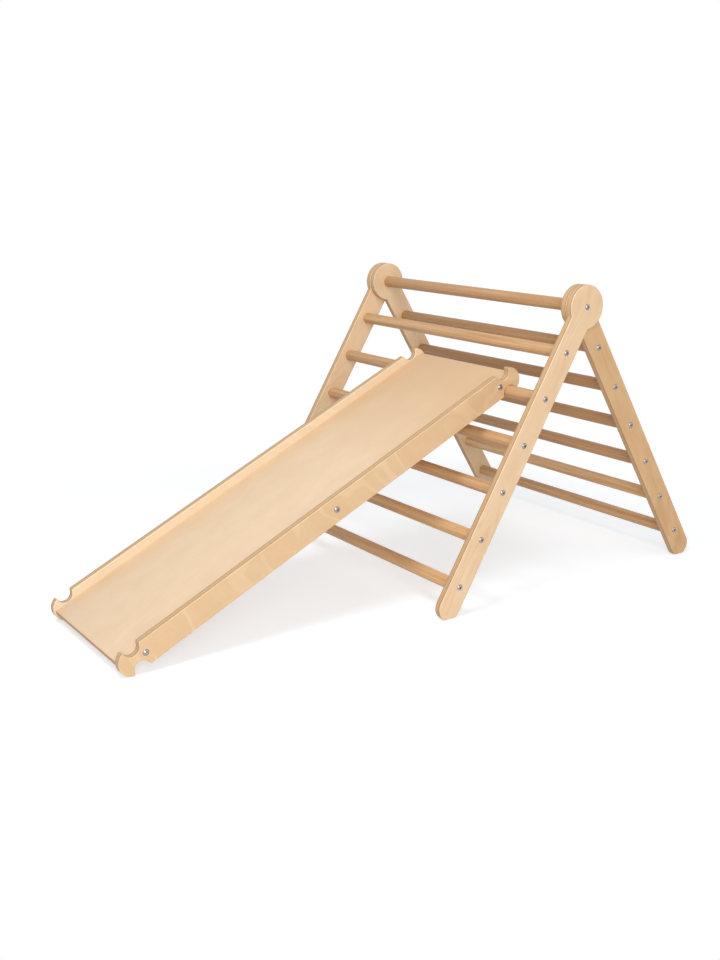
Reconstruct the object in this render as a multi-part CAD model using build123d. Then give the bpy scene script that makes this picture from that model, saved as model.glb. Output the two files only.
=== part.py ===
from build123d import *
import os
from math import asin, atan2, cos, degrees, hypot, radians, sin

# Toddler climbing gym: two plywood and dowel ladders that fold about one top axis,
# and a two-sided ramp that hooks over a rung of the front ladder.
# Millimetres, +Z up, +X from the ramp's foot to the rear ladder, +Y to the left.
# The origin lies on the floor, under the middle of the footprint.

# Ladders
rung_spacing = 120.0
rungs_per_ladder = 6
rung_diameter = 30.0
ladder_tilt = 31.0              # of each ladder, from upright
gym_width = 844.0               # over the front rails
rail_width = 61.0
rail_thickness = 18.0
head_radius = 52.0              # round head of each rail, about the top axis
neck_fillet = 3.0
foot_reach = 52.0               # from the last rung to the centre of the round foot
foot_flat = 3.2                 # cut off a round foot, so it stands on a flat
foot_corner = 5.0
rail_edge = 2.0                 # eased along both faces of a rail

# Top hinge
hinge_shank_radius = 4.0
hinge_clearance = 0.05
stop_pin_radius = 4.0
stop_orbit = 35.0               # from the top axis to the stop pin
stop_groove_depth = 7.0
stop_pin_reach = 6.4            # out of the rear rail, into the groove
stop_pin_seat = 9.0             # in the rear rail
running_gap = 0.3
folded_gap = 1.0                # between a folded rear rail and the front rungs

# Screws, and the threaded inserts of the hinge bolts
screw_head_radius = 7.25
screw_head_height = 3.6
screw_crown_radius = 3.5        # of the flat at the top of a head
screw_shank_radius = 3.0
screw_grip = 45.0               # of a screw in the end of a rung
bolt_grip = 20.0                # of a hinge bolt in its insert
insert_radius = 7.0
insert_length = 24.0
fastener_clearance = 0.05

# Ramp
ramp_rung = 2                   # front rung that carries the hooks
ramp_width = 395.0
ramp_offset = -99.0             # of its middle along the rung
ramp_side_height = 58.0
ramp_side_thickness = 18.0
hook_pitch = 1083.0             # between the notches at the two ends
notch_clearance = 3.0           # of a notch around a rung
notch_land = 0.5                # left above the board under a notch
lobe_radius = 31.5
lobe_offset = 10.5              # of a lobe's centre beyond the notches
tip_round = 3.5
notch_corner = 5.0
ramp_side_edge = 2.0
ramp_board_thickness = 18.0
board_overhang = 37.5           # of the board beyond the notches
board_end_round = 7.0
ramp_screw_offset = 22.0        # of an end screw inside the notches
ramp_screw_grip = 40.0

# Climbing battens under the board
batten_count = 5
batten_end_margin = 150.0       # from the notches to the outer battens
batten_width = 32.0
batten_thickness = 14.0
batten_round = 6.0
batten_side_gap = 4.0

# Worked out from the above
rung_radius = rung_diameter / 2
tilt = radians(ladder_tilt)
foot_distance = rungs_per_ladder * rung_spacing + foot_reach
axis_height = foot_distance * cos(tilt) + rail_width / 2 - foot_flat
front_face = gym_width / 2                     # outer face of the front rails
rear_face = front_face - rail_thickness        # outer face of the rear rails
folded_angle = degrees(asin((rail_width / 2 + rung_radius + folded_gap) / rung_spacing))
fold_travel = 2 * ladder_tilt - folded_angle

hook_drop = ramp_rung * rung_spacing
hook_height = axis_height - hook_drop * cos(tilt)
notch_radius = rung_radius + notch_clearance
notch_offset = ramp_board_thickness / 2 + notch_land + notch_radius
seat_depth = notch_offset - (notch_radius - rung_radius) + running_gap
lobe_distance = hook_pitch + lobe_offset
ramp_slope = asin((hook_height - lobe_radius) / hypot(lobe_distance, seat_depth))
ramp_slope += atan2(seat_depth, lobe_distance)

# Half the footprint's length lies each side of the origin
rear_reach = foot_distance * sin(tilt) + rail_width / 2
ramp_reach = (hook_drop * sin(tilt) + lobe_distance * cos(ramp_slope)
              + seat_depth * sin(ramp_slope) + lobe_radius)
axis_x = (ramp_reach - rear_reach) / 2
hook_x = axis_x - hook_drop * sin(tilt)


def ladder_plane(side_tilt, y):
    """Plane across a ladder's rail: local X across the rail, local Y up along it."""
    return Plane(origin=(axis_x, y, axis_height),
                 x_dir=(cos(side_tilt), 0, -sin(side_tilt)), z_dir=(0, -1, 0))


def ramp_plane(y):
    """Plane along the ramp: local X down the slope, local Y square to the board."""
    across = (-sin(ramp_slope), cos(ramp_slope))
    return Plane(origin=(hook_x + seat_depth * across[0], y, hook_height + seat_depth * across[1]),
                 x_dir=(-cos(ramp_slope), 0, -sin(ramp_slope)), z_dir=(0, 1, 0))


def mirrored(shape):
    """The same piece on the other side of the middle plane."""
    return mirror(shape, about=Plane.XZ)


def eased_panel(outline, thickness, ease):
    """A panel cut from plywood, with its edges eased along both faces."""
    panel = extrude(outline, thickness)
    faces = panel.faces().sort_by(Axis.Z)
    return chamfer(faces[0].edges() + faces[-1].edges(), ease)


def drill(x, y, radius, start, depth):
    """A cylinder that cuts a hole square to a panel, from one depth on."""
    return Pos(x, y, start) * Cylinder(radius, depth, align=(Align.CENTER, Align.CENTER, Align.MIN))


# Plywood rails of the two ladders

def rail_outline(side_tilt):
    """Round head, straight bar and a round foot that is cut flat along the floor."""
    bar = Pos(0, -foot_distance / 2) * Rectangle(rail_width, foot_distance)
    foot = Pos(0, -foot_distance) * Circle(rail_width / 2)
    outline = Circle(head_radius) + bar + foot
    neck_height = -(head_radius ** 2 - (rail_width / 2) ** 2) ** 0.5
    neck = outline.vertices().filter_by_position(Axis.Y, neck_height - 0.01, neck_height + 0.01)
    outline = fillet(neck, neck_fillet)
    below = Pos(0, -axis_height / cos(side_tilt)) * Rot(0, 0, degrees(side_tilt))
    outline -= below * Pos(0, -rail_width) * Rectangle(4 * rail_width, 2 * rail_width)
    ends = outline.vertices().sort_by(Axis.Y)[:2]
    return fillet(ends, foot_corner)


def plain_rail(side_tilt):
    """A rail on its own plane: outer face up at the panel's thickness, inner face at zero."""
    rail = eased_panel(rail_outline(side_tilt), rail_thickness, rail_edge)
    for index in range(1, rungs_per_ladder + 1):
        y = -index * rung_spacing
        rail -= drill(0, y, screw_shank_radius + fastener_clearance, 0, rail_thickness)
    return rail


def front_rail():
    """The outer rail of the pair: its head turns on the hinge bolt and holds the stop groove."""
    rail = plain_rail(tilt)
    rail -= drill(0, 0, hinge_shank_radius + hinge_clearance, 0, rail_thickness)
    track = CenterArc((0, 0), stop_orbit, 90 + folded_angle, fold_travel)
    groove = SlotArc(track, 2 * (stop_pin_radius + running_gap))
    rail -= extrude(groove, stop_groove_depth)
    return ladder_plane(tilt, -(front_face - rail_thickness)) * rail


def rear_rail():
    """The inner rail: its head carries the top rung, and a pin that runs in the groove."""
    rail = plain_rail(-tilt)
    rail -= drill(0, 0, hinge_shank_radius + hinge_clearance, 0, rail_thickness)
    rail -= drill(0, stop_orbit, stop_pin_radius + fastener_clearance,
                  rail_thickness - stop_pin_seat, stop_pin_seat)
    return ladder_plane(-tilt, -(rear_face - rail_thickness)) * rail


# Beech rungs

def rung(side_tilt, drop, outer_face, bore_radius, bore_depth):
    """A dowel from rail to rail, bored at both ends for what screws in."""
    length = 2 * (outer_face - rail_thickness)
    dowel = Cylinder(rung_radius, length)
    bore = Cylinder(bore_radius + fastener_clearance, bore_depth,
                    align=(Align.CENTER, Align.CENTER, Align.MAX))
    dowel -= Pos(0, 0, length / 2) * bore
    dowel -= Rot(180, 0, 0) * Pos(0, 0, length / 2) * bore
    return ladder_plane(side_tilt, 0) * Pos(0, -drop, 0) * dowel


# Screws, hinge bolts, inserts and stop pins, on the right-hand side

def button_screw(shank_radius, length):
    """A low button head on a plain shank, with its seat at zero and its head upwards."""
    head = Cone(screw_head_radius, screw_crown_radius, screw_head_height,
                align=(Align.CENTER, Align.CENTER, Align.MIN))
    return head + Cylinder(shank_radius, length, align=(Align.CENTER, Align.CENTER, Align.MAX))


def rung_screws(side_tilt, outer_face):
    """One screw through the rail into each of the ladder's rungs."""
    length = rail_thickness + screw_grip
    seat = ladder_plane(side_tilt, -outer_face)
    return [seat * Pos(0, -index * rung_spacing, 0) * button_screw(screw_shank_radius, length)
            for index in range(1, rungs_per_ladder + 1)]


def hinge_bolt():
    """A bolt through both heads into the top rung; the front rail turns on its shank."""
    length = 2 * rail_thickness + bolt_grip
    return ladder_plane(-tilt, -front_face) * button_screw(hinge_shank_radius, length)


def hinge_insert():
    """The threaded sleeve in the top rung's end that takes a hinge bolt."""
    align = (Align.CENTER, Align.CENTER, Align.MAX)
    sleeve = Cylinder(insert_radius, insert_length, align=align)
    sleeve -= Cylinder(hinge_shank_radius + fastener_clearance, insert_length, align=align)
    return ladder_plane(-tilt, -(rear_face - rail_thickness)) * sleeve


def stop_pin():
    """A steel pin in the rear rail's head; it meets the groove's end when the frame is open."""
    length = stop_pin_seat + stop_pin_reach
    pin = Cylinder(stop_pin_radius, length, align=(Align.CENTER, Align.CENTER, Align.MIN))
    return ladder_plane(-tilt, -rear_face) * Pos(0, stop_orbit, -stop_pin_seat) * pin


# Ramp

def ramp_side(y):
    """A side rail that is the same either way up: a round lobe and two notches at each end."""
    outline = Pos(hook_pitch / 2, 0) * Rectangle(hook_pitch, ramp_side_height)
    for x, outwards in ((0, -1), (hook_pitch, 1)):
        outline += Pos(x + outwards * lobe_offset, 0) * Circle(lobe_radius)
    for x in (0, hook_pitch):
        for up in (-1, 1):
            outline -= Pos(x, up * notch_offset) * Circle(notch_radius)
    inner = [v for v in outline.vertices() if 0 < v.X < hook_pitch]
    outline = fillet(inner, notch_corner)
    tips = [v for v in outline.vertices()
            if not -notch_radius / 2 < v.X < hook_pitch + notch_radius / 2 and v.Y != 0]
    outline = fillet(tips, tip_round)
    side = eased_panel(outline, ramp_side_thickness, ramp_side_edge)
    for x in ramp_screw_stations():
        side -= drill(x, 0, screw_shank_radius + fastener_clearance, 0, ramp_side_thickness)
    return ramp_plane(y) * side


def ramp_screw_stations():
    """Places of the screws along a side: near each end and at the middle."""
    return (ramp_screw_offset, hook_pitch / 2, hook_pitch - ramp_screw_offset)


def ramp_board():
    """The slide's board on the middle plane of the sides, rounded at both ends."""
    width = ramp_width - 2 * ramp_side_thickness
    outline = Pos(hook_pitch / 2, 0) * RectangleRounded(
        hook_pitch + 2 * board_overhang, ramp_board_thickness, board_end_round)
    board = extrude(outline, width)
    for x in ramp_screw_stations():
        board -= Pos(x, 0, 0) * Cylinder(screw_shank_radius + fastener_clearance, 2 * ramp_screw_grip)
        board -= Pos(x, 0, width) * Cylinder(screw_shank_radius + fastener_clearance, 2 * ramp_screw_grip)
    return ramp_plane(ramp_offset - width / 2) * board


def ramp_screws(y, inwards):
    """Screws through one side into the board's edge."""
    length = ramp_side_thickness + ramp_screw_grip
    flip = Rot(0, 0, 0) if inwards < 0 else Rot(180, 0, 0)
    return [ramp_plane(y) * Pos(x, 0, 0) * flip * button_screw(screw_shank_radius, length)
            for x in ramp_screw_stations()]


def batten_stations():
    """Places of the battens along the ramp, evenly between the outer two."""
    pitch = (hook_pitch - 2 * batten_end_margin) / (batten_count - 1)
    return [batten_end_margin + index * pitch for index in range(batten_count)]


def batten(x):
    """A climbing batten under the board, rounded along its two lower edges."""
    width = ramp_width - 2 * ramp_side_thickness
    outline = Pos(x, -(ramp_board_thickness + batten_thickness) / 2) * Rectangle(
        batten_width, batten_thickness)
    lower = outline.vertices().sort_by(Axis.Y)[:2]
    bar = extrude(fillet(lower, batten_round), width - 2 * batten_side_gap)
    bar = Pos(0, 0, batten_side_gap) * bar
    return ramp_plane(ramp_offset - width / 2) * bar


# All pieces, by name

def mirrored_pair(name, shapes):
    """A right-hand piece, or group of like pieces, and its left-hand mirror."""
    right = shapes if isinstance(shapes, list) else [shapes]
    return {name + "_right": right, name + "_left": [mirrored(shape) for shape in right]}


pieces = {}
pieces |= mirrored_pair("front_rail", front_rail())
pieces |= mirrored_pair("rear_rail", rear_rail())
pieces["top_rung"] = [rung(-tilt, 0, rear_face, insert_radius, insert_length)]
for number in range(1, rungs_per_ladder + 1):
    drop = number * rung_spacing
    for ladder, side_tilt, face in (("front", tilt, front_face), ("rear", -tilt, rear_face)):
        pieces[f"{ladder}_rung_{number}"] = [
            rung(side_tilt, drop, face, screw_shank_radius, screw_grip)]
pieces |= mirrored_pair("front_screws", rung_screws(tilt, front_face))
pieces |= mirrored_pair("rear_screws", rung_screws(-tilt, rear_face))
pieces |= mirrored_pair("hinge_bolt", hinge_bolt())
pieces |= mirrored_pair("hinge_insert", hinge_insert())
pieces |= mirrored_pair("stop_pin", stop_pin())

ramp_right = ramp_offset - ramp_width / 2
ramp_left = ramp_offset + ramp_width / 2
pieces["ramp_side_right"] = [ramp_side(ramp_right)]
pieces["ramp_side_left"] = [ramp_side(ramp_left - ramp_side_thickness)]
pieces["ramp_board"] = [ramp_board()]
pieces["ramp_screws_right"] = ramp_screws(ramp_right, 1)
pieces["ramp_screws_left"] = ramp_screws(ramp_left, -1)
for number, station in enumerate(batten_stations(), start=1):
    pieces[f"ramp_batten_{number}"] = [batten(station)]

os.makedirs("parts", exist_ok=True)
for name, shapes in pieces.items():
    solids = [solid for shape in shapes for solid in shape.solids()]
    export_step(solids[0] if len(solids) == 1 else Compound(solids), f"parts/{name}.step")

print(f"top axis: x {axis_x:.2f}, z {axis_height:.2f}; fold travel {fold_travel:.2f} degrees")
print(f"hook rung: x {hook_x:.2f}, z {hook_height:.2f}; ramp slope {degrees(ramp_slope):.3f} degrees")
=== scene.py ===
import bpy
import numpy as np
from mathutils import Matrix


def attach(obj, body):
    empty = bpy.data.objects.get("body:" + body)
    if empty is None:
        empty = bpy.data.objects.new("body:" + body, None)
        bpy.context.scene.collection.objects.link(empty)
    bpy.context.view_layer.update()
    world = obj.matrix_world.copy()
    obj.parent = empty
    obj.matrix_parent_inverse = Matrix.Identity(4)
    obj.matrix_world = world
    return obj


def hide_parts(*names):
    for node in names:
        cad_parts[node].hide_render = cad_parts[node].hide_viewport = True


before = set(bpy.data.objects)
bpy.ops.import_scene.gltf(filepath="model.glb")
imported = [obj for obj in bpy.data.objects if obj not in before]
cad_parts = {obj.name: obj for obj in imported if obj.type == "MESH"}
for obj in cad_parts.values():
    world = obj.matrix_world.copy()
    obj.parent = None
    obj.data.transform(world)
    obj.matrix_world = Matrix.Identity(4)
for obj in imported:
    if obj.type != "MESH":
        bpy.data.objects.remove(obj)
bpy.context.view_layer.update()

# Ladder rails: four bars of 18 mm birch plywood with a round head and a round foot.
# They are cut on a router, eased all round with a small rounding cutter, sanded and lacquered.
# The front pair stands outside the rear pair, and their heads lie face to face at the top.

AXIS_X, AXIS_Z = 0.36155, 0.68903
TILT = np.radians(31.0)
SIDES = (("right", -1), ("left", 1))
PLY = 0.018
FRONT_FACE = 0.422
REAR_FACE = 0.404
HEAD_RADIUS = 0.052
RAIL_HALF = 0.0305
NECK_RADIUS = 0.003
FOOT_DISTANCE = 0.772
FOOT_DROP = 0.0273
FOOT_CORNER = 0.012
RAIL_ROUNDING = 0.0023
RAIL_FLAT = 0.0004
ARC_STEPS = 180
ROUNDING_STEPS = 5
GRAIN_STEP_ALONG, GRAIN_STEP_ACROSS = 1.7, 0.4

BIRCH_LIGHT = (0.87, 0.64, 0.41, 1)
BIRCH_DARK = (0.79, 0.53, 0.305, 1)
# The right-hand rear rail's birch is darker and more orange than the front rails': partly the
# wood's own tone and partly painted shade and bounce light.
REAR_LIGHT = (0.74, 0.47, 0.24, 1)
REAR_DARK = (0.62, 0.355, 0.16, 1)
FAR_LIGHT = (0.82, 0.61, 0.385, 1)
FAR_DARK = (0.74, 0.51, 0.29, 1)
PLY_LIGHT = (0.69, 0.455, 0.25, 1)
PLY_DARK = (0.31, 0.18, 0.083, 1)

PLIES = 9
PLY_LINE = 0.0004
PATCH_SIZE = (5.0, 14.0, 14.0)
PATCH_START, PATCH_FULL = 0.3, 0.62
PORE_SIZE = (60.0, 1500.0, 700.0)
PORE_DEPTH = 0.7
FACE_TONE = 0.4
FIBRE_SIZE = (260.0, 260.0, 900.0)
FIBRE_DEPTH = 0.5
CROSS_PLY_DEPTH = 0.27
OWN_PLY_DEPTH = 0.22
LACQUER_ROUGHNESS = 0.42
ROUGHNESS_SPREAD = 0.12
PLYWOOD_BUMP = 0.00012


class Port:
    """An output of a shader node. Sums and products of ports and numbers add Math nodes."""

    tree = None

    def __init__(self, socket):
        self.socket = socket

    @classmethod
    def node(cls, kind, settings=None, out=0, **values):
        """Adds one node: its settings first, then its sockets, as values or links. A socket
        goes by its number, as in _0, or by its name, with _ for a space."""
        node = cls.tree.nodes.new("ShaderNode" + kind)
        for key, value in (settings or {}).items():
            setattr(node, key, value)
        for key, value in values.items():
            socket = node.inputs[int(key[1:]) if key[0] == "_" else key.replace("_", " ")]
            if isinstance(value, Port):
                cls.tree.links.new(value.socket, socket)
            else:
                socket.default_value = value
        return None if out is None else cls(node.outputs[out])

    def math(self, operation, other=0.0):
        return Port.node("Math", {"operation": operation}, _0=self, _1=other)

    def __add__(self, other):
        return self.math("ADD", other)

    def __sub__(self, other):
        return self.math("SUBTRACT", other)

    def __rsub__(self, other):
        return Port.node("Math", {"operation": "SUBTRACT"}, _0=other, _1=self)

    def __mul__(self, other):
        return self.math("MULTIPLY", other)

    def __truediv__(self, other):
        return self.math("DIVIDE", other)

    def __abs__(self):
        return self.math("ABSOLUTE")

    def clamp(self):
        return Port.node("Clamp", Value=self)

    def above(self, low, high):
        """0 under the low value, 1 over the high one, and a smooth step between."""
        return Port.node("MapRange", {"interpolation_type": "SMOOTHSTEP"},
                         Value=self, From_Min=low, From_Max=high)

    def mix(self, first, second):
        """A colour between two, where this port is the share of the second."""
        return Port.node("Mix", {"data_type": "RGBA"}, out=2, _0=self, _6=first, _7=second)


def start_material(name):
    """An empty node material; the ports that follow go into its tree."""
    material = bpy.data.materials.new(name)
    material.use_nodes = True
    material.node_tree.nodes.clear()
    Port.tree = material.node_tree
    return material


def end_material(material, bump=None, depth=0.0, **values):
    """Closes a material with one Principled shader; a height port goes through a Bump node."""
    if bump is not None:
        values["Normal"] = Port.node("Bump", Strength=1.0, Distance=depth, Height=bump)
    Port.node("OutputMaterial", out=None, Surface=Port.node("BsdfPrincipled", **values))
    return material


def wood_place():
    """The piece's wood attribute: metres along the grain, across it and through the sheet."""
    return Port.node("Attribute", {"attribute_name": "wood"}, out="Vector")


def noise(place, size, detail, **values):
    """Noise over a place whose three parts are each multiplied by their own number."""
    scaled = Port.node("VectorMath", {"operation": "MULTIPLY"}, _0=place, _1=size)
    return Port.node("TexNoise", Vector=scaled, Scale=1.0, Detail=detail, **values)


def birch_plywood(name, light, dark, figure_depth, rings=62.0, line=0.35, cut_half=0.007,
                  flow_size=(3.2, 15.0, 15.0), cloud_size=(9.0, 26.0, 26.0), cloud_depth=1.8,
                  painted_shade=None):
    """Rotary-cut birch. The face's figure is the sine of a slow noise, so it runs in arches,
    with clouds and fine pores over it. A cut edge is nine plies by its depth in the sheet:
    the cross plies are darker, most of all the two next to the faces. They show over the
    middle of the edge, cut_half each way, and the eased part beyond it is the face's veneer.
    The last argument, when given, is the colour of a painted shade and a function from the grain
    to that colour's share."""
    material = start_material(name)
    wood = wood_place()
    through = Port.node("SeparateXYZ", out=2, _0=wood)
    flow = noise(wood, flow_size, detail=0.6, Distortion=0.2)
    contour = ((flow * rings).math("SINE") * 0.5 + 0.5).above(line, 1.0)
    patch = noise(wood, PATCH_SIZE, detail=2.0)
    cloud = noise(wood, cloud_size, detail=5.0)
    pores = noise(wood, PORE_SIZE, detail=3.0)
    figure = contour * patch.above(PATCH_START, PATCH_FULL) * figure_depth
    figure = figure + (cloud - 0.5) * cloud_depth + (pores - 0.5) * PORE_DEPTH + FACE_TONE
    face = figure.clamp().mix(light, dark)
    # Painted shade: a darker colour mixed into the face wherever the given function asks for it.
    if painted_shade is not None:
        shade_color, share = painted_shade
        face = share(wood, cloud).clamp().mix(face, shade_color)

    ply = (through / (PLY / PLIES)).math("ROUND")
    layer = abs(ply)
    cross = layer.math("MODULO", 2.0)
    own = Port.node("TexWhiteNoise", {"noise_dimensions": "1D"}, W=ply)
    fibres = noise(wood, FIBRE_SIZE, detail=4.0)
    shade = cross * layer * CROSS_PLY_DEPTH + own * OWN_PLY_DEPTH + (fibres - 0.5) * FIBRE_DEPTH
    cut = shade.clamp().mix(PLY_LIGHT, PLY_DARK)
    inner = 1.0 - abs(through).above(cut_half - PLY_LINE, cut_half + PLY_LINE)
    rough = cloud * ROUGHNESS_SPREAD + LACQUER_ROUGHNESS + inner * ROUGHNESS_SPREAD
    return end_material(material, bump=pores * 0.5 + fibres * inner * 0.5, depth=PLYWOOD_BUMP,
                        Base_Color=inner.mix(face, cut), Roughness=rough)


def arc_run(arcs):
    """Outline made of arcs, joined by straight runs. Each row is an arc's centre, radius and
    first and last angle in degrees. A point is centre + |r| (cos a, sin a), and its outward
    normal is (cos a, sin a) times the sign of r, so a hollow has a negative radius."""
    points, normals = [], []
    for x, y, radius, first, last in arcs:
        count = max(3, int(abs(last - first) / 360 * ARC_STEPS) + 1)
        angle = np.radians(np.linspace(first, last, count))
        ray = np.stack([np.cos(angle), np.sin(angle)], axis=1)
        points.append(np.array([x, y]) + abs(radius) * ray)
        normals.append(np.sign(radius) * ray)
    return np.concatenate(points), np.concatenate(normals)


def rounded_slab(points, normals, depth, rounding, flat):
    """A flat outline with thickness and rounded edges. At turn a of the edge the outline is
    set in by r (1 - cos a) along its normal, and its height is d/2 - r (1 - sin a). One more
    ring, set in by flat, keeps the faces' shading flat. Returns rings of local points
    (ring, point, xyz), from the back face to the front face."""
    turn = np.linspace(0, np.pi / 2, ROUNDING_STEPS)
    inset = np.append(rounding * (1 - np.cos(turn)), rounding + flat)
    height = np.append(depth / 2 - rounding * (1 - np.sin(turn)), depth / 2)
    inset = np.concatenate([inset[::-1], inset])
    height = np.concatenate([-height[::-1], height])
    outline = points[None] - inset[:, None, None] * normals[None]
    level = np.broadcast_to(height[:, None, None], outline.shape[:2] + (1,))
    return np.concatenate([outline, level], axis=2)


def closed_rings(rings):
    """Faces of a stack of closed rings: quads between neighbours and one face on each end."""
    count, around = rings.shape[:2]
    low = np.arange(around)
    high = (low + 1) % around
    base = (np.arange(count - 1) * around)[:, None]
    quads = np.stack([base + low, base + high, base + around + high, base + around + low], axis=2)
    ends = [list(low[::-1]), list(low + (count - 1) * around)]
    return [list(face) for face in quads.reshape(-1, 4)] + ends


def make_piece(name, vertices, faces, material, wood=None, turned=False):
    """A smooth-shaded mesh object at the origin, with the grain's own coordinates on it.
    The faces of a mirrored piece are turned, so that they look outwards."""
    mesh = bpy.data.meshes.new(name)
    if turned:
        faces = [face[::-1] for face in faces]
    faces = [[int(corner) for corner in face] for face in faces]
    mesh.from_pydata(np.asarray(vertices).reshape(-1, 3).tolist(), [], faces)
    if wood is not None:
        grain = mesh.attributes.new("wood", "FLOAT_VECTOR", "POINT")
        grain.data.foreach_set("vector", np.asarray(wood, dtype=np.float32).ravel())
    mesh.polygons.foreach_set("use_smooth", [True] * len(mesh.polygons))
    mesh.materials.append(material)
    mesh.update()
    piece = bpy.data.objects.new(name, mesh)
    bpy.context.scene.collection.objects.link(piece)
    return piece


def rail_arcs(tilt):
    """The rail's outline about its head's centre, with X across it and Y up along it. The
    foot is an arc with a flat on the floor, which lies FOOT_DROP under the arc's centre."""
    reach = HEAD_RADIUS + NECK_RADIUS
    neck_x = RAIL_HALF + NECK_RADIUS
    neck_y = -np.sqrt(reach ** 2 - neck_x ** 2)
    neck = np.degrees(np.arctan2(-neck_y, neck_x))
    down = 270 + np.degrees(tilt)
    spread = np.degrees(np.arccos((FOOT_DROP - FOOT_CORNER) / (RAIL_HALF - FOOT_CORNER)))
    corners = []
    for side in (-1, 1):
        angle = np.radians(down + side * spread)
        x, y = (RAIL_HALF - FOOT_CORNER) * np.array([np.cos(angle), np.sin(angle)])
        ends = sorted((down, down + side * spread))
        corners.append((x, y - FOOT_DISTANCE, FOOT_CORNER, ends[0], ends[1]))
    return [
        (0, 0, HEAD_RADIUS, -neck, 180 + neck),
        (-neck_x, neck_y, -NECK_RADIUS, neck, 0),
        (0, -FOOT_DISTANCE, RAIL_HALF, 180, down - spread),
        corners[0],
        corners[1],
        (0, -FOOT_DISTANCE, RAIL_HALF, down + spread, 360),
        (neck_x, neck_y, -NECK_RADIUS, 180, 180 - neck),
    ]


def rail(name, node, body, tilt, outer_face, side, material, seed):
    """Turns the slab about the top axis by the ladder's tilt; side -1 is the right-hand rail.
    The seed moves the rail to its own stretch of the grain."""
    points, normals = arc_run(rail_arcs(tilt))
    slab = rounded_slab(points, normals, PLY, RAIL_ROUNDING, RAIL_FLAT)
    across, up, through = slab[..., 0], slab[..., 1], slab[..., 2]
    x = AXIS_X + across * np.cos(tilt) + up * np.sin(tilt)
    y = side * (outer_face - PLY / 2 + through)
    z = AXIS_Z - across * np.sin(tilt) + up * np.cos(tilt)
    grain = np.stack([up + seed * GRAIN_STEP_ALONG, across + seed * GRAIN_STEP_ACROSS, through],
                     axis=-1)
    piece = make_piece(name, np.stack([x, y, z], axis=-1), closed_rings(slab), material,
                       wood=grain, turned=side > 0)
    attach(piece, body)
    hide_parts(node)


front_birch = birch_plywood("front_birch", BIRCH_LIGHT, BIRCH_DARK, figure_depth=0.45)
rear_birch = birch_plywood("rear_birch", REAR_LIGHT, REAR_DARK, figure_depth=0.35)
far_birch = birch_plywood("far_birch", FAR_LIGHT, FAR_DARK, figure_depth=0.45)
for number, (side_name, side) in enumerate(SIDES):
    rail("rail_front_" + side_name, "front_rail_" + side_name, "front_ladder",
         TILT, FRONT_FACE, side, front_birch, seed=1 + number)
    rail("rail_rear_" + side_name, "rear_rail_" + side_name, "rear_ladder",
         -TILT, REAR_FACE, side, (rear_birch, far_birch)[number], seed=3 + number)

# Rungs: thirteen 30 mm beech dowels, cut square and screwed between the rails.
# Beech is redder than birch, and shows short dark flecks along the dowel.

RUNG_RADIUS = 0.015
RUNG_SPACING = 0.12
RUNGS = 6
RUNG_EASING = 0.0008
RUNG_EASING_STEPS = 4
RUNG_STEPS = 64
LADDERS = (("front", TILT, FRONT_FACE), ("rear", -TILT, REAR_FACE))
# Each rung's tone, and the top rung's: partly the beech's own tone and partly painted light and
# shade, paler on the lower front rungs in the ramp's shade and deeper on the upper rear rungs.
RUNG_WOOD_AND_LIGHT_TONES = {"front": (0.28, 0.36, 0.28, 0.2, 0.0, 0.0),
              "rear": (0.5, 0.7, 0.62, 0.52, 0.0, 0.28)}
TOP_WOOD_AND_LIGHT_TONE = 0.5
BEECH_LIGHT = (0.82, 0.52, 0.272, 1)
BEECH_DARK = (0.59, 0.33, 0.148, 1)
BEECH_DEEP = (0.33, 0.155, 0.06, 1)
STREAK_SIZE = (170.0, 3.0, 170.0)
STREAK_DEPTH = 3.3
FLECK_SIZE = (900.0, 90.0, 900.0)
FLECK_START, FLECK_FULL = 0.56, 0.68
FLECK_DEPTH = 0.4
BEECH_TONE = 0.42
BEECH_ROUGHNESS = 0.4
BEECH_ROUGHNESS_SPREAD = 0.16
BEECH_BUMP = 0.00003


def beech(name):
    """Straight-grained beech: long soft streaks and many short flecks along the grain. The
    third part of a dowel's wood attribute is its own tone, 0 for pale and 1 for deep, which
    is partly the beech's own tone and partly painted light and shade. On any other piece it
    is a depth in metres, which is as good as pale."""
    material = start_material(name)
    own = Port.node("SeparateXYZ", out=2, _0=wood_place())
    place = Port.node("TexCoord", out="Object")
    streaks = noise(place, STREAK_SIZE, detail=4.0)
    flecks = noise(place, FLECK_SIZE, detail=2.0)
    fleck = flecks.above(FLECK_START, FLECK_FULL)
    tone = ((streaks - 0.5) * STREAK_DEPTH + BEECH_TONE + fleck * FLECK_DEPTH).clamp()
    color = own.mix(tone.mix(BEECH_LIGHT, BEECH_DARK), BEECH_DEEP)
    rough = streaks * BEECH_ROUGHNESS_SPREAD + BEECH_ROUGHNESS
    return end_material(material, bump=flecks, depth=BEECH_BUMP,
                        Base_Color=color, Roughness=rough)


def down_ladder(tilt, distance):
    """The x and z of a point on a ladder's middle line, at a distance from the top axis."""
    return AXIS_X - distance * np.sin(tilt), AXIS_Z - distance * np.cos(tilt)


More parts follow.
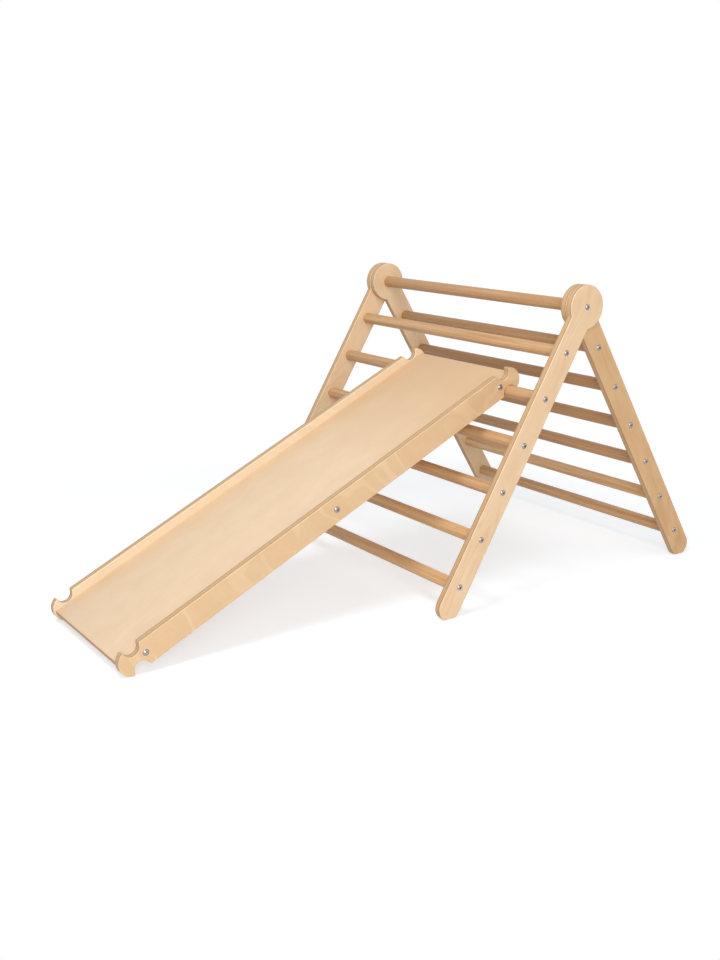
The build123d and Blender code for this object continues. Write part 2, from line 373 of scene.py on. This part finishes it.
def dowel(name, node, body, x, z, half_length, tone, material):
    """A round bar along Y. A point is the axis + r (sin a, cos a), and at each end the
    radius and length draw in together over a small rounded arris, down to a flat end."""
    around = np.linspace(0, 2 * np.pi, RUNG_STEPS, endpoint=False)
    turn = np.linspace(0, np.pi / 2, RUNG_EASING_STEPS)
    radius = np.append(RUNG_RADIUS - RUNG_EASING * (1 - np.cos(turn)),
                       RUNG_RADIUS - 2 * RUNG_EASING)
    reach = np.append(half_length - RUNG_EASING * (1 - np.sin(turn)), half_length)
    radius = np.concatenate([radius[::-1], radius])
    reach = np.concatenate([-reach[::-1], reach])
    rings = np.stack([x + radius[:, None] * np.sin(around),
                      np.broadcast_to(reach[:, None], (len(reach), RUNG_STEPS)),
                      z + radius[:, None] * np.cos(around)], axis=-1)
    along = rings[..., 1]
    wood = np.stack([along, np.zeros_like(along), np.full_like(along, tone)], axis=-1)
    piece = make_piece(name, rings, closed_rings(rings), material, wood=wood)
    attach(piece, body)
    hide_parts(node)


rung_beech = beech("rung_beech")
dowel("rung_top", "top_rung", "rear_ladder", AXIS_X, AXIS_Z, REAR_FACE - PLY, TOP_WOOD_AND_LIGHT_TONE, rung_beech)
for number in range(1, RUNGS + 1):
    for ladder, tilt, face in LADDERS:
        dowel(f"rung_{ladder}_{number}", f"{ladder}_rung_{number}", ladder + "_ladder",
              *down_ladder(tilt, number * RUNG_SPACING), face - PLY,
              RUNG_WOOD_AND_LIGHT_TONES[ladder][number - 1], rung_beech)

# Screws: low domed furniture screws with a hexagon socket, nickel-chrome plated.
# One goes through the rail into each rung's end, and a hinge bolt into the top rung's end.

SCREW_RADIUS = 0.00725
SCREW_HEIGHT = 0.0036
SCREW_STEPS = 36
SCREW_SHANK = 0.003
RUNG_SHANK_LENGTH = 0.06
BOLT_SHANK_LENGTH = 0.055
SOCKET_HALF = 0.0025
SOCKET_DEPTH = 0.0028
SOCKET_EASING = 0.0003
SOCKET_EDGE_LOW, SOCKET_EDGE_HIGH = 0.0004, 0.0001
DOME_START, DOME_END, DOME_RINGS = 0.48, 0.985, 9
DOME_POWER = 2.6
RIM_HEIGHT = 0.0007
RIM_SHARE = 0.6
END_SHARE = 0.02
SHARP_ANGLE = np.radians(38)
CHROME_LIGHT = (0.42, 0.39, 0.385, 1)
CHROME_DARK = (0.27, 0.245, 0.24, 1)


def plating(name, scale, detail, light, dark, roughness, spread):
    """Plated steel, dulled a little by a fine mottle that is also rougher where it is dark."""
    material = start_material(name)
    place = Port.node("TexCoord", out="Object")
    mottle = Port.node("TexNoise", Vector=place, Scale=scale, Detail=detail)
    return end_material(material, Base_Color=mottle.mix(light, dark), Metallic=1.0,
                        Roughness=mottle * spread + roughness)


def screw_rings(shank_length):
    """One screw about its own axis, seat at zero. Each ring is a circle, apart from those of
    the socket, where the radius at angle a is s / cos(a'), with a' the angle from the
    nearest flat's middle. The dome falls by (r/R)^2.6 of its height to a rounded rim."""
    around = np.linspace(0, 2 * np.pi, SCREW_STEPS, endpoint=False)
    flat = (around + np.pi / 6) % (np.pi / 3) - np.pi / 6
    hexagon = SOCKET_HALF / np.cos(flat)
    floor_height = SCREW_HEIGHT - SOCKET_DEPTH
    rings = [(hexagon * END_SHARE, floor_height), (hexagon, floor_height),
             (hexagon, SCREW_HEIGHT - SOCKET_EDGE_LOW),
             (hexagon + SOCKET_EASING, SCREW_HEIGHT - SOCKET_EDGE_HIGH)]
    for share in np.linspace(DOME_START, DOME_END, DOME_RINGS):
        height = RIM_HEIGHT + (SCREW_HEIGHT - RIM_HEIGHT) * (1 - share ** DOME_POWER)
        rings.append((SCREW_RADIUS * share, height))
    rings += [(SCREW_RADIUS, RIM_HEIGHT * RIM_SHARE), (SCREW_RADIUS * DOME_END, 0.0),
              (SCREW_SHANK, 0.0), (SCREW_SHANK, -shank_length),
              (SCREW_SHANK * END_SHARE, -shank_length)]
    radius = np.array([np.broadcast_to(r, around.shape) for r, _ in rings])
    height = np.array([np.full(around.shape, h) for _, h in rings])
    return np.stack([radius * np.cos(around), radius * np.sin(around), height], axis=-1)


def screws(name, nodes, body, places, side, shank_length, material):
    """Screws with their seats' middles at several places and their heads out along the side."""
    rings = screw_rings(shank_length)
    vertices, faces = [], []
    for x, y, z in places:
        start = len(vertices) * rings.shape[0] * rings.shape[1]
        vertices.append(np.stack([x + rings[..., 0], y + side * rings[..., 2],
                                  z + rings[..., 1]], axis=-1))
        faces += [[start + corner for corner in face] for face in closed_rings(rings)]
    piece = make_piece(name, np.array(vertices), faces, material, turned=side < 0)
    piece.data.set_sharp_from_angle(angle=SHARP_ANGLE)
    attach(piece, body)
    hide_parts(*nodes)


screw_chrome = plating("screw_chrome", scale=420.0, detail=3.0, light=CHROME_LIGHT,
                       dark=CHROME_DARK, roughness=0.14, spread=0.12)
for side_name, side in SIDES:
    for ladder, tilt, face in LADDERS:
        places = []
        for number in range(1, RUNGS + 1):
            x, z = down_ladder(tilt, number * RUNG_SPACING)
            places.append((x, side * face, z))
        screws(f"screws_{ladder}_{side_name}", [f"{ladder}_screws_{side_name}"],
               ladder + "_ladder", places, side, RUNG_SHANK_LENGTH, screw_chrome)
    screws("bolt_" + side_name, ["hinge_bolt_" + side_name], "rear_ladder",
           [(AXIS_X, side * FRONT_FACE, AXIS_Z)], side, BOLT_SHANK_LENGTH, screw_chrome)

# Hidden steel: threaded inserts in the top rung and the pins that stop the ladders opening.
# They are turned from mild steel and zinc plated.

ZINC_LIGHT = (0.55, 0.56, 0.57, 1)
ZINC_DARK = (0.42, 0.43, 0.44, 1)

hidden_zinc = plating("hidden_zinc", scale=600.0, detail=4.0, light=ZINC_LIGHT,
                      dark=ZINC_DARK, roughness=0.3, spread=0.2)
for node in ("hinge_insert_right", "hinge_insert_left", "stop_pin_right", "stop_pin_left"):
    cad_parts[node].data.materials.clear()
    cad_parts[node].data.materials.append(hidden_zinc)

# Ramp sides: two 18 mm birch plywood bars, the same either way up and either way round.
# Each end is a round lobe with a notch above and below, so any end hooks over a rung.

HOOK_X, HOOK_Z = 0.23794, 0.48331
SLOPE = np.radians(25.697)
SEAT = 0.0248
HOOK_PITCH = 1.083
SIDE_HALF = 0.029
NOTCH_RADIUS = 0.018
NOTCH_OFFSET = 0.0275
NOTCH_CORNER = 0.005
LOBE_RADIUS = 0.0315
LOBE_OFFSET = 0.0105
TIP_RADIUS = 0.0035
SIDE_ROUNDING = 0.0018
SIDE_FLAT = 0.0003
RAMP_MIDDLE = -0.099
RAMP_HALF = 0.1975

RIGHT_LIGHT = (0.80, 0.555, 0.325, 1)
RIGHT_DARK = (0.69, 0.43, 0.215, 1)
# The left-hand side's birch is paler and less orange than the right-hand side's: painted light,
# for the light that the board throws back onto the side's inner face.
LEFT_LIGHT = (0.88, 0.72, 0.52, 1)
LEFT_DARK = (0.815, 0.625, 0.415, 1)
SIDE_FIGURE = {"figure_depth": -0.55, "rings": 30.0, "line": 0.8, "cut_half": 0.0072,
               "cloud_depth": 0.7, "flow_size": (6.0, 13.0, 13.0)}
SIDE_GRAIN = np.radians(62)
SIDE_GRAIN_START = 9.0
SIDE_GRAIN_STEP = 2.3


def angle_of(x, y):
    return np.degrees(np.arctan2(y, x))


def ramp_side_arcs():
    """One end of the side from its upper corner round to its lower one, then the same end
    turned half round about the side's middle. The tip's centre is R - t from the lobe's
    centre and r + t from the notch's, where two circles cross."""
    corner_reach = NOTCH_RADIUS + NOTCH_CORNER
    corner_x = np.sqrt(corner_reach ** 2 - (NOTCH_OFFSET - SIDE_HALF + NOTCH_CORNER) ** 2)
    corner_y = SIDE_HALF - NOTCH_CORNER
    lobe = np.array([-LOBE_OFFSET, 0.0])
    gap = np.array([LOBE_OFFSET, NOTCH_OFFSET])
    span = np.hypot(*gap)
    from_lobe, from_notch = LOBE_RADIUS - TIP_RADIUS, NOTCH_RADIUS + TIP_RADIUS
    along = (from_lobe ** 2 - from_notch ** 2 + span ** 2) / (2 * span)
    aside = np.sqrt(from_lobe ** 2 - along ** 2)
    unit = gap / span
    tip = lobe + along * unit + aside * np.array([-unit[1], unit[0]])
    lobe_angle = angle_of(*(tip - lobe))
    to_notch = angle_of(-tip[0], NOTCH_OFFSET - tip[1])
    from_corner = angle_of(corner_x, corner_y - NOTCH_OFFSET)
    upper = [
        (corner_x, corner_y, NOTCH_CORNER, 90, 180 + from_corner),
        (0, NOTCH_OFFSET, -NOTCH_RADIUS, from_corner, to_notch - 180),
        (tip[0], tip[1], TIP_RADIUS, to_notch, lobe_angle),
    ]
    lower = [(x, -y, r, -last, -first) for x, y, r, first, last in upper[::-1]]
    end = upper + [(lobe[0], 0, LOBE_RADIUS, lobe_angle, 360 - lobe_angle)] + lower
    return end + [(HOOK_PITCH - x, -y, r, first + 180, last + 180) for x, y, r, first, last in end]


def on_ramp(down_slope, square, y):
    """World points of the ramp's own coordinates: down its slope and square to its board."""
    x = HOOK_X - SEAT * np.sin(SLOPE) - down_slope * np.cos(SLOPE) - square * np.sin(SLOPE)
    z = HOOK_Z + SEAT * np.cos(SLOPE) - down_slope * np.sin(SLOPE) + square * np.cos(SLOPE)
    return np.stack(np.broadcast_arrays(x, y, z), axis=-1)


side_birches = (birch_plywood("right_side_birch", RIGHT_LIGHT, RIGHT_DARK, **SIDE_FIGURE),
                birch_plywood("left_side_birch", LEFT_LIGHT, LEFT_DARK, **SIDE_FIGURE))
points, normals = arc_run(ramp_side_arcs())
slab = rounded_slab(points, normals, PLY, SIDE_ROUNDING, SIDE_FLAT)
along, square, through = slab[..., 0], slab[..., 1], slab[..., 2]
grain_along = along * np.cos(SIDE_GRAIN) + square * np.sin(SIDE_GRAIN)
grain_across = square * np.cos(SIDE_GRAIN) - along * np.sin(SIDE_GRAIN)
for number, (side_name, side) in enumerate(SIDES):
    y = RAMP_MIDDLE + side * (RAMP_HALF - PLY / 2 + through)
    grain = np.stack([grain_along + SIDE_GRAIN_START + number * SIDE_GRAIN_STEP,
                      grain_across + number, through], axis=-1)
    piece = make_piece("ramp_rail_" + side_name, on_ramp(along, square, y), closed_rings(slab),
                       side_birches[number], wood=grain, turned=side < 0)
    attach(piece, "ramp")
    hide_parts("ramp_side_" + side_name)

# Ramp board: one 18 mm birch plywood panel between the sides, on their middle line.
# Its two ends run past the notches and are rounded over, and small screws hold its edges.

BOARD_HALF = RAMP_HALF - PLY
BOARD_OVERHANG = 0.0375
BOARD_ROUND = 0.007
BOARD_ARRIS = 0.0003
BOARD_LIGHT = (0.865, 0.655, 0.445, 1)
BOARD_DARK = (0.77, 0.555, 0.35, 1)
# Painted shade on the board: its colour, then where and how strongly it shows at the hook end and
# along the left-hand side.
BOARD_SHADE = (0.73, 0.485, 0.28, 1)
BOARD_GRAIN_START = 14.0
HOOK_END_FULL, HOOK_END_STOP = 0.02, 0.5
HOOK_END_SHADE = 0.95
LEFT_EDGE_START, LEFT_EDGE_FULL = 0.1, 0.17
LEFT_EDGE_SHADE = 0.4
CLOUD_DEPTH = 0.3


def bar_arcs(start, end, low, high, lower_round, upper_round):
    """A rectangle with rounded corners, as four arcs."""
    return [
        (end - upper_round, high - upper_round, upper_round, 0, 90),
        (start + upper_round, high - upper_round, upper_round, 90, 180),
        (start + lower_round, low + lower_round, lower_round, 180, 270),
        (end - lower_round, low + lower_round, lower_round, 270, 360),
    ]


def cross_bar(name, node, arcs, half_width, rounding, material, grain_start):
    """Carries an outline in the ramp's side view across the ramp, from side to side."""
    points, normals = arc_run(arcs)
    slab = rounded_slab(points, normals, 2 * half_width, rounding, SIDE_FLAT)
    along, square, over = slab[..., 0], slab[..., 1], slab[..., 2]
    grain = np.stack([along + grain_start, over, square], axis=-1)
    piece = make_piece(name, on_ramp(along, square, RAMP_MIDDLE + over), closed_rings(slab),
                       material, wood=grain)
    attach(piece, "ramp")
    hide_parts(node)


def painted_board_shade(wood, cloud):
    """Painted shade on the board: darker towards the hook end, which lies under the
    ladder's rungs, and along the left-hand side, in the corner against that side.
    """
    along = Port.node("SeparateXYZ", out=0, _0=wood)
    over = Port.node("SeparateXYZ", out=1, _0=wood)
    hook_end = 1.0 - along.above(BOARD_GRAIN_START + HOOK_END_FULL,
                                 BOARD_GRAIN_START + HOOK_END_STOP)
    left_edge = over.above(LEFT_EDGE_START, LEFT_EDGE_FULL)
    return hook_end * HOOK_END_SHADE + left_edge * LEFT_EDGE_SHADE + (cloud - 0.5) * CLOUD_DEPTH


board_birch = birch_plywood("board_birch", BOARD_LIGHT, BOARD_DARK, figure_depth=0.12,
                            cloud_size=(11.0, 15.0, 15.0), cloud_depth=0.9,
                            painted_shade=(BOARD_SHADE, painted_board_shade))
board_arcs = bar_arcs(-BOARD_OVERHANG, HOOK_PITCH + BOARD_OVERHANG, -PLY / 2, PLY / 2,
                      BOARD_ROUND, BOARD_ROUND)
cross_bar("ramp_panel", "ramp_board", board_arcs, BOARD_HALF, BOARD_ARRIS, board_birch,
          grain_start=BOARD_GRAIN_START)

# Climbing battens: five beech bars across the board's underside, for climbing it turned over.
# Their free edges are rounded, and they stop just short of the sides.

BATTENS = 5
BATTEN_MARGIN = 0.15
BATTEN_WIDTH = 0.032
BATTEN_DEPTH = 0.014
BATTEN_ROUND = 0.006
BATTEN_ARRIS = 0.0004
BATTEN_GAP = 0.004

middles = np.linspace(BATTEN_MARGIN, HOOK_PITCH - BATTEN_MARGIN, BATTENS)
for number, middle in enumerate(middles, start=1):
    arcs = bar_arcs(middle - BATTEN_WIDTH / 2, middle + BATTEN_WIDTH / 2,
                    -PLY / 2 - BATTEN_DEPTH, -PLY / 2, BATTEN_ROUND, BATTEN_ARRIS)
    cross_bar(f"climbing_bar_{number}", f"ramp_batten_{number}", arcs, BOARD_HALF - BATTEN_GAP,
              BATTEN_ARRIS, rung_beech, grain_start=0.0)

# Ramp screws: the same domed screws, three through each side into the board's edge.
# One sits near each end and one at the middle, on the side's middle line.

SCREW_INSET = 0.022
RAMP_SHANK_LENGTH = 0.055

for side_name, side in SIDES:
    stations = (SCREW_INSET, HOOK_PITCH / 2, HOOK_PITCH - SCREW_INSET)
    face = RAMP_MIDDLE + side * RAMP_HALF
    places = [tuple(on_ramp(station, 0.0, face)) for station in stations]
    screws("ramp_fixings_" + side_name, ["ramp_screws_" + side_name], "ramp", places, side,
           RAMP_SHANK_LENGTH, screw_chrome)

# Studio: a plain pale floor, a soft overhead light and two soft side lights.
# The floor and the sky show white to the camera, and the floor keeps the soft shadows.
# From below the floor lets the view through to the gym's underside.

FLOOR_HALF = 30
FLOOR_DROP = 0.0006
FLOOR_SHADE = (0.60, 0.635, 0.67, 1)
FLOOR_GLOW = 0.56
FLOOR_PLAIN = (0.8, 0.8, 0.8, 1)
FADE_START, FADE_END = 0.95, 1.35
SKY = (0.97, 0.98, 1.0, 1)
SKY_STRENGTH = 0.42
WHITE = (1, 1, 1, 1)
GYM_MIDDLE = (0, 0, 0.3)


def ray_is(*kinds):
    """1 for a ray of any of these kinds, else 0."""
    total = Port.node("LightPath", out=f"Is {kinds[0]} Ray")
    for kind in kinds[1:]:
        total = total + Port.node("LightPath", out=f"Is {kind} Ray")
    return total.clamp()


def soft_light(name, place, aim, size, power):
    """A square area light at a place, turned to face its aim."""
    data = bpy.data.lights.new(name, "AREA")
    data.size = size
    data.energy = power
    lamp = bpy.data.objects.new(name, data)
    lamp.location = place
    way = np.array(aim) - np.array(place)
    pitch = np.arctan2(np.hypot(way[0], way[1]), -way[2])
    lamp.rotation_euler = (pitch, 0, np.arctan2(-way[0], way[1]))
    scene.collection.objects.link(lamp)


scene = bpy.context.scene
floor_mesh = bpy.data.meshes.new("floor")
corners = [(x * FLOOR_HALF, y * FLOOR_HALF, 0) for x, y in ((-1, -1), (1, -1), (1, 1), (-1, 1))]
floor_mesh.from_pydata(corners, [], [(0, 1, 2, 3)])
floor = bpy.data.objects.new("floor", floor_mesh)
floor.location.z = -FLOOR_DROP
scene.collection.objects.link(floor)
floor_white = start_material("floor_white")
seen = ray_is("Camera", "Glossy")
shade = Port.node("BsdfDiffuse", Color=FLOOR_SHADE)
glow = Port.node("Emission", Color=WHITE, Strength=FLOOR_GLOW)
near = Port.node("AddShader", _0=shade, _1=glow)
far = Port.node("Emission", Color=WHITE, Strength=1.0)
place = Port.node("TexCoord", out="Object")
reach = Port.node("VectorMath", {"operation": "LENGTH"}, out="Value", _0=place)
shown = Port.node("MixShader", _0=reach.above(FADE_START, FADE_END), _1=near, _2=far)
plain = Port.node("BsdfDiffuse", Color=FLOOR_PLAIN)
top = Port.node("MixShader", _0=seen, _1=plain, _2=shown)
below = Port.node("NewGeometry", out="Backfacing")
through = Port.node("BsdfTransparent")
Port.node("OutputMaterial", out=None,
          Surface=Port.node("MixShader", _0=below, _1=top, _2=through))
floor_mesh.materials.append(floor_white)

world = bpy.data.worlds.new("studio")
scene.world = world
world.use_nodes = True
world.node_tree.nodes.clear()
Port.tree = world.node_tree
straight = ray_is("Camera", "Glossy", "Transmission")
soft = Port.node("Background", Color=SKY, Strength=SKY_STRENGTH)
white = Port.node("Background", Color=WHITE, Strength=1.0)
Port.node("OutputWorld", out=None,
          Surface=Port.node("MixShader", _0=straight, _1=soft, _2=white))

soft_light("overhead", place=(-1.2, -0.6, 3.0), aim=GYM_MIDDLE, size=1.0, power=36)
soft_light("front_left", place=(-2.1, -3.6, 1.6), aim=GYM_MIDDLE, size=2.2, power=82)
soft_light("front_right", place=(2.4, -3.2, 1.5), aim=(0.1, 0, 0.35), size=1.8, power=10)

# Camera: a normal lens that looks at the gym's right-hand side and the ramp's foot.
# It stands at a sitting adult's eye height and looks slightly down.

SENSOR_HEIGHT = 36
FOCAL_LENGTH = 43.663
SHIFT_X, SHIFT_Y = -0.01804, -0.01533
EYE = (-1.5991, -2.3903, 1.0012)
HEADING = np.radians(-34.66)
DIP = 14.215
PITCH = np.radians(90 - DIP)
ROLL = np.radians(-0.171)

camera_data = bpy.data.cameras.new("camera")
camera_data.sensor_fit = "VERTICAL"
camera_data.sensor_height = SENSOR_HEIGHT
camera_data.lens = FOCAL_LENGTH
camera_data.shift_x = SHIFT_X
camera_data.shift_y = SHIFT_Y
camera = bpy.data.objects.new("camera", camera_data)
camera.location = EYE
look = Matrix.Rotation(HEADING, 3, "Z") @ Matrix.Rotation(PITCH, 3, "X")
camera.rotation_euler = (look @ Matrix.Rotation(ROLL, 3, "Z")).to_euler()
scene.collection.objects.link(camera)
scene.camera = camera
scene.view_settings.view_transform = "Standard"
